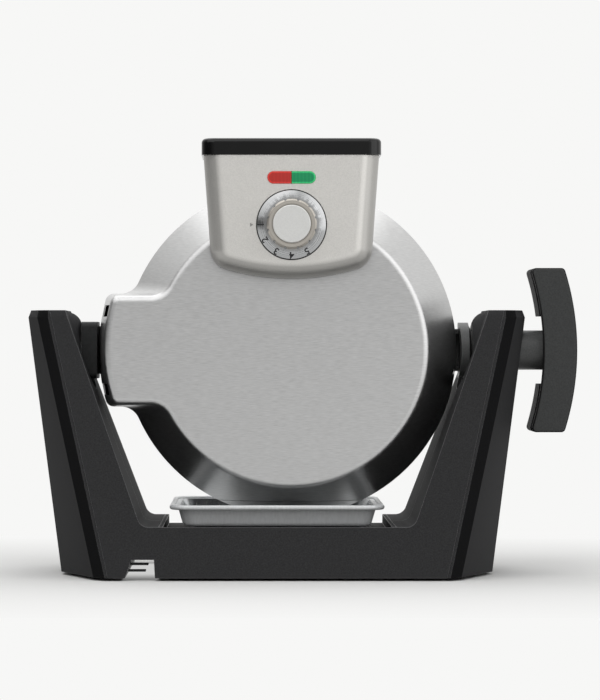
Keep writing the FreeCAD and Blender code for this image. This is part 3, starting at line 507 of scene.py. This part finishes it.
def lens_acrylic(name, middle, rim):
    """Clear plastic from its middle's colour to its rim's, by the distance from the capsule's middle line."""
    made, tree, shader = blank(name, Roughness=0.12, IOR=1.49, Emission_Strength=0.15)
    place = add(tree, "TexCoord")
    local = add(tree, "Mapping", {"Location": [-c for c in lens_middle]}, {"Vector": place.outputs["Object"]})
    parts = add(tree, "SeparateXYZ", links={"Vector": local.outputs["Vector"]})
    side = add(tree, "Math", {"operation": "ABSOLUTE"}, {0: parts.outputs["X"]})
    past = add(tree, "Math", {"operation": "SUBTRACT", 1: lens_straight}, {0: side.outputs["Value"]})
    past = add(tree, "Math", {"operation": "MAXIMUM", 1: 0.0}, {0: past.outputs["Value"]})
    flat = add(tree, "CombineXYZ", links={"X": past.outputs["Value"], "Z": parts.outputs["Z"]})
    reach = add(tree, "VectorMath", {"operation": "LENGTH"}, {0: flat.outputs["Vector"]})
    rim_limits = {"From Min": rim_share * lens_radius, "From Max": lens_radius}
    rise = add(tree, "MapRange", rim_limits, {"Value": reach.outputs["Value"]})
    turns = add(tree, "Math", {"operation": "MULTIPLY", 1: prism_turn}, {0: parts.outputs["X"]})
    wave = add(tree, "Math", {"operation": "SINE"}, {0: turns.outputs["Value"]})
    prism = add(
        tree, "Math", {"operation": "MULTIPLY_ADD", 1: prism_contrast},
        {0: wave.outputs["Value"], 2: rise.outputs["Result"]})
    tone = add(tree, "ValToRGB", links={"Fac": prism.outputs["Value"]})
    for stop, code in zip(tone.color_ramp.elements, (middle, rim)):
        stop.color = linear(code)
    tree.links.new(tone.outputs["Color"], shader.inputs["Base Color"])
    tree.links.new(tone.outputs["Color"], shader.inputs["Emission Color"])
    return made


red_acrylic = lens_acrylic("red_acrylic", middle="#be302a", rim="#ff4a40")
green_acrylic = lens_acrylic("green_acrylic", middle="#13965f", rim="#46f090")
dressed("red_lens", "lid", (red_acrylic,), lens_round)
dressed("green_lens", "lid", (green_acrylic,), lens_round)

# Dial: a spun aluminium skirt with printed numbers, a grooved grip ring and a plain lacquered disc in it.
# It turns on the thermostat's shaft over a thin flat black ring, painted shade for the gap round the dial,
# and a mark beside it shows the setting.
# Spinning leaves fine rings round the axis; they are 0.2 mm apart and drawn at 0.6 mm.
skirt_low, skirt_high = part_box("dial_skirt")
dial_middle = Vector(((skirt_low[0] + skirt_high[0]) / 2, 0, (skirt_low[2] + skirt_high[2]) / 2))
skirt_radius = (skirt_high[0] - skirt_low[0]) / 2
skirt_round = 0.0003
disc_round = 0.0004
ring_pitch = 0.0006
ring_detail = 2.0


def spun(name, tones, gloss, stretch):
    """Metal with fine rings round the dial's axis, which draw its highlights out to wedges."""
    made, tree, shader = blank(name, Metallic=1.0, Anisotropic=stretch, Anisotropic_Rotation=0.25)
    place = add(tree, "TexCoord")
    centred = {"Location": [-c for c in dial_middle], "Scale": (1, 0, 1)}
    local = add(tree, "Mapping", centred, {"Vector": place.outputs["Object"]})
    reach = add(tree, "VectorMath", {"operation": "LENGTH"}, {0: local.outputs["Vector"]})
    fine = {"noise_dimensions": "1D", "Scale": 1 / ring_pitch, "Detail": ring_detail}
    rings = add(tree, "TexNoise", fine, {"W": reach.outputs["Value"]})
    follow(tree, shader, rings.outputs["Fac"], tones, gloss, depth=0.0)
    round_axis = add(tree, "Tangent", {"direction_type": "RADIAL", "axis": "Y"})
    tree.links.new(round_axis.outputs["Tangent"], shader.inputs["Tangent"])
    return made


skirt_alu = spun("spun_aluminium", tones=("#a6a7a8", "#b8b9ba"), gloss=(0.25, 0.31), stretch=0.9)
grip_alu = spun("satin_aluminium", tones=("#aaa59e", "#bab5ad"), gloss=(0.34, 0.44), stretch=0.3)
disc_lacquer = surfaced(
    "silver_lacquer_disc", tones=("#eeeeec", "#f5f5f3"), gloss=(0.34, 0.46), grain=flake_size, depth=0.00001,
    Metallic=0.2)
groove_near, groove_far = 0.0155, 0.01695
groove_tilt = 0.3


def in_groove(face):
    """Whether a face of the grip ring is a wall of one of its grooves."""
    reach = math.hypot(face.center.x - dial_middle.x, face.center.z - dial_middle.z)
    return abs(face.normal.y) < groove_tilt and groove_near < reach < groove_far


dressed("dial_skirt", "dial", (skirt_alu,), skirt_round)
grip = sheeted("dial_grip", "dial", grip_alu)
# Painted shade: the walls of the grip's grooves take the dark nylon tone.
painted(grip, rim_nylon, in_groove)
dressed("dial_cap", "dial", (disc_lacquer,), disc_round)


def fixed(piece, place, material):
    """A new piece's place applied to its mesh, and its material."""
    piece.matrix_world = place
    alone(piece)
    bpy.ops.object.transform_apply(location=True, rotation=True, scale=True)
    piece.data.materials.append(material)


# A thin flat black ring round the skirt's edge is painted shade for the gap between dial and panel;
# its black has a dull 1 mm grain.
shade_ring_black = surfaced(
    "painted_shade_black", tones=("#101011", "#171718"), gloss=(0.7, 0.85), grain=0.001, depth=0.00003)
shade_ring_margin = 0.0007
shade_ring_radius = skirt_radius + shade_ring_margin
shade_ring_hole = 0.006
shade_ring_thickness = 0.0003
shade_ring_corners = 96
bpy.ops.object.select_all(action="DESELECT")
bpy.ops.mesh.primitive_circle_add(vertices=shade_ring_corners, radius=shade_ring_radius)
shade_ring = bpy.context.object
shade_ring.name = "dial_shade_ring"
bpy.ops.object.mode_set(mode="EDIT")
bpy.ops.mesh.select_all(action="SELECT")
bpy.ops.mesh.extrude_edges_move()
hole_share = shade_ring_hole / shade_ring_radius
bpy.ops.transform.resize(value=(hole_share, hole_share, 1))
bpy.ops.mesh.select_all(action="SELECT")
bpy.ops.mesh.extrude_region_move(TRANSFORM_OT_translate={"value": (0, 0, shade_ring_thickness)})
bpy.ops.mesh.select_all(action="SELECT")
bpy.ops.mesh.remove_doubles(threshold=merge_distance)
bpy.ops.mesh.normals_make_consistent(inside=False)
bpy.ops.object.mode_set(mode="OBJECT")
upright = Matrix.Rotation(math.pi / 2, 4, "X")
shade_ring_place = Matrix.Translation((dial_middle.x, panel_front, dial_middle.z))
fixed(shade_ring, shade_ring_place @ upright, shade_ring_black)
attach(shade_ring, "lid")

# The numbers are printed in a dark ink; a thin coat looks dull and slightly uneven, with 0.8 mm blotches.
ink_blotch = 0.0008
print_ink = surfaced(
    "printed_ink", tones=("#1c1c1e", "#29292b"), gloss=(0.55, 0.7), grain=ink_blotch, depth=0.0)
ink_height = 0.00006
number_height = 0.0051
capital_share = 0.72
number_weight = 0.0001
number_radius = 0.0209
number_count = 5
first_turn, turn_step = 180, 30
skirt_neck = 0.0182
skirt_edge = 0.0012
skirt_depth = 0.004
skirt_gap = 0.0004
slope = math.atan2(skirt_depth - skirt_edge, skirt_radius - skirt_neck)
number_front = panel_front - skirt_gap - skirt_edge - (skirt_radius - number_radius) * math.tan(slope)
for number in range(1, number_count + 1):
    turn = math.radians(first_turn + turn_step * (number - 1))
    out = Vector((math.cos(turn), 0, math.sin(turn)))
    forward = Vector((0, -math.cos(slope), 0)) + out * math.sin(slope)
    up = out * math.cos(slope) + Vector((0, math.sin(slope), 0))
    across = up.cross(forward)
    bpy.ops.object.select_all(action="DESELECT")
    bpy.ops.object.text_add()
    digit = bpy.context.object
    digit.name = "dial_number_" + str(number)
    digit.data.body = str(number)
    digit.data.size = number_height / capital_share
    digit.data.align_x = "CENTER"
    digit.data.align_y = "CENTER"
    digit.data.extrude = ink_height
    digit.data.offset = number_weight
    bpy.ops.object.convert(target="MESH")
    at = out * number_radius + Vector((dial_middle.x, number_front, dial_middle.z)) + forward * ink_height
    fixed(digit, Matrix.Translation(at) @ Matrix((across, up, forward)).transposed().to_4x4(), print_ink)
    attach(digit, "dial")

# The mark is printed in a pale grey of the same kind.
mark_ink = surfaced(
    "printed_pale_ink", tones=("#9c9a97", "#a8a6a3"), gloss=(0.55, 0.7), grain=ink_blotch, depth=0.0)
mark_radius = 0.0016
mark_corners = 3
mark_round = 0.0002
mark_offset = 0.0278
bpy.ops.object.select_all(action="DESELECT")
bpy.ops.mesh.primitive_circle_add(vertices=mark_corners, radius=mark_radius, fill_type="NGON")
mark = bpy.context.object
mark.name = "dial_mark"
bpy.ops.object.mode_set(mode="EDIT")
bpy.ops.mesh.select_all(action="SELECT")
bpy.ops.mesh.bevel(offset=mark_round, segments=round_segments, affect="VERTICES")
bpy.ops.mesh.select_all(action="SELECT")
bpy.ops.mesh.extrude_region_move(TRANSFORM_OT_translate={"value": (0, 0, ink_height)})
bpy.ops.mesh.select_all(action="SELECT")
bpy.ops.mesh.normals_make_consistent(inside=False)
bpy.ops.object.mode_set(mode="OBJECT")
mark_place = Matrix.Translation((dial_middle.x - mark_offset, panel_front, dial_middle.z))
pointing = Matrix.Rotation(-math.pi / 2, 4, "Z")
fixed(mark, mark_place @ upright @ pointing, mark_ink)
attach(mark, "lid")

# Floor, light and camera: a pale studio floor that fades into a pale background.
# Soft light comes from above, with the camera level with the axle and the photograph's lens.
floor_half = 6.0
bpy.ops.object.select_all(action="DESELECT")
bpy.ops.mesh.primitive_plane_add(size=2 * floor_half, location=(0, 0, 0))
floor = bpy.context.object
floor.name = "floor"


def shown(tree):
    """The light paths, and whether the eye sees the surface straight, in a mirror or through glass."""
    path = add(tree, "LightPath")
    straight = path.outputs["Is Camera Ray"]
    mirrored = path.outputs["Is Glossy Ray"]
    through = path.outputs["Is Transmission Ray"]
    seen = add(tree, "Math", {"operation": "MAXIMUM"}, {0: straight, 1: mirrored})
    seen = add(tree, "Math", {"operation": "MAXIMUM"}, {0: seen.outputs["Value"], 1: through})
    return path, seen


# The floor fades into the background with the distance from the stand's footprint, outside its shadow.
back_color = linear("#f7f7f6")
footprint_half = (0.175, 0.086, 0)
fade_limits = {"From Min": 0.02, "From Max": 0.27}
floor_pale, tree, shader = blank(
    "pale_floor", Base_Color=linear("#f6f6f5"), Roughness=0.9, Specular_IOR_Level=0.0)
place = add(tree, "TexCoord")
side = add(tree, "VectorMath", {"operation": "ABSOLUTE"}, {0: place.outputs["Object"]})
past = add(tree, "VectorMath", {"operation": "SUBTRACT", 1: footprint_half}, {0: side.outputs["Vector"]})
past = add(tree, "VectorMath", {"operation": "MAXIMUM", 1: (0, 0, 0)}, {0: past.outputs["Vector"]})
reach = add(tree, "VectorMath", {"operation": "LENGTH"}, {0: past.outputs["Vector"]})
fade = add(tree, "MapRange", fade_limits, {"Value": reach.outputs["Value"]})
# Painted light: the floor inside the open cord channel glows to the eye as if lit from behind through it.
channel_low, channel_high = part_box("cord_channel")
lit_middle = ((channel_low[0] + channel_high[0]) / 2, 0, 0)
lit_half = (channel_high[0] - channel_low[0]) / 2
lit_edge = 0.001
lit_front, lit_rear = 0.06, 0.02
painted_light_level = 0.65
side_limits = {"From Min": lit_half - lit_edge, "From Max": lit_half, "To Min": 1.0, "To Max": 0.0}
front_limits = {
    "From Min": channel_low[1], "From Max": channel_low[1] + lit_front, "To Min": 0.0, "To Max": painted_light_level}
rear_limits = {
    "From Min": channel_high[1] - lit_rear, "From Max": channel_high[1], "To Min": 1.0, "To Max": 0.0}
beside = add(tree, "VectorMath", {"operation": "SUBTRACT", 1: lit_middle}, {0: place.outputs["Object"]})
parts = add(tree, "SeparateXYZ", links={"Vector": beside.outputs["Vector"]})
side = add(tree, "Math", {"operation": "ABSOLUTE"}, {0: parts.outputs["X"]})
inside = add(tree, "MapRange", side_limits, {"Value": side.outputs["Value"]})
deep = add(tree, "MapRange", front_limits, {"Value": parts.outputs["Y"]})
rear = add(tree, "MapRange", rear_limits, {"Value": parts.outputs["Y"]})
painted_light = add(tree, "Math", {"operation": "MULTIPLY"}, {0: inside.outputs["Result"], 1: deep.outputs["Result"]})
painted_light = add(tree, "Math", {"operation": "MULTIPLY"}, {0: painted_light.outputs["Value"], 1: rear.outputs["Result"]})
pale = add(tree, "Math", {"operation": "MAXIMUM"}, {0: fade.outputs["Result"], 1: painted_light.outputs["Value"]})
path, seen = shown(tree)
far = add(tree, "Math", {"operation": "MULTIPLY"}, {0: pale.outputs["Value"], 1: seen.outputs["Value"]})
glow = add(tree, "Emission", {"Color": back_color, "Strength": 1.0})
# The floor throws less light back on the object than the eye sees on it.
dull = add(tree, "BsdfDiffuse", {"Color": linear("#9c9c9a")})
thrown = path.outputs["Is Diffuse Ray"]
near = add(tree, "MixShader", links={0: thrown, 1: shader.outputs["BSDF"], 2: dull.outputs["BSDF"]})
surface = {0: far.outputs["Value"], 1: near.outputs["Shader"], 2: glow.outputs["Emission"]}
mix = add(tree, "MixShader", links=surface)
tree.links.new(mix.outputs["Shader"], tree.nodes["Material Output"].inputs["Surface"])
floor.data.materials.append(floor_pale)

# The eye sees a plain background, and metal mirrors a studio that brightens from low left to high right.
ambient = 0.38
sweep_way = (0.8, 0.4, 0.6)
sweep_limits = {"From Min": -0.8, "From Max": 0.15, "To Min": 0.08, "To Max": 1.12}
world = bpy.data.worlds.new("studio")
world.use_nodes = True
bpy.context.scene.world = world
tree = world.node_tree
path, seen = shown(tree)
facing = add(tree, "TexCoord")
sweep = add(tree, "VectorMath", {"operation": "DOT_PRODUCT", 1: sweep_way}, {0: facing.outputs["Generated"]})
mirror = add(tree, "MapRange", sweep_limits, {"Value": sweep.outputs["Value"]})
level = add(tree, "Mix", {"A": ambient}, {"Factor": seen.outputs["Value"], "B": mirror.outputs["Result"]})
bright = add(tree, "Mix", {"B": 1.0}, {"Factor": path.outputs["Is Camera Ray"], "A": level.outputs["Result"]})
tree.nodes["Background"].inputs["Color"].default_value = back_color
tree.links.new(bright.outputs["Result"], tree.nodes["Background"].inputs["Strength"])


def soft_light(name, place, target, size, power):
    """A rectangular lamp that points from its place to its target."""
    lamp = bpy.data.lights.new(name, "AREA")
    lamp.shape = "RECTANGLE"
    lamp.size, lamp.size_y = size
    lamp.energy = power
    made = bpy.data.objects.new(name, lamp)
    made.location = place
    made.rotation_euler = (Vector(target) - Vector(place)).to_track_quat("-Z", "Y").to_euler()
    bpy.context.collection.objects.link(made)


soft_light("key", place=(-0.9, -1.1, 1.5), target=(0, 0, 0.15), size=(2.2, 2.2), power=15)
soft_light("fill", place=(1.3, -1.0, 0.9), target=(0, 0, 0.15), size=(1.8, 1.8), power=9)
soft_light("top", place=(0, 0.6, 1.7), target=(0, 0, 0.1), size=(2.0, 1.6), power=11)

photo_width, photo_height = 600, 700
view_side, view_distance, view_height = -0.0334, 2.0, 0.1606
mm_per_pixel = 0.71
middle_u, middle_v = 255.0, 345.0
camera_data = bpy.data.cameras.new("camera")
camera = bpy.data.objects.new("camera", camera_data)
bpy.context.collection.objects.link(camera)
camera.location = (view_side, -view_distance, view_height)
camera.rotation_euler = (math.radians(90), 0, 0)
focal_pixels = view_distance / (mm_per_pixel / 1000)
camera_data.sensor_fit = "HORIZONTAL"
camera_data.sensor_width = 36.0
camera_data.lens = focal_pixels * camera_data.sensor_width / photo_width
camera_data.shift_x = (photo_width / 2 - middle_u) / photo_width
camera_data.shift_y = (middle_v - photo_height / 2) / photo_width
camera_data.clip_end = 40
bpy.context.scene.camera = camera
bpy.context.scene.view_settings.view_transform = "Standard"
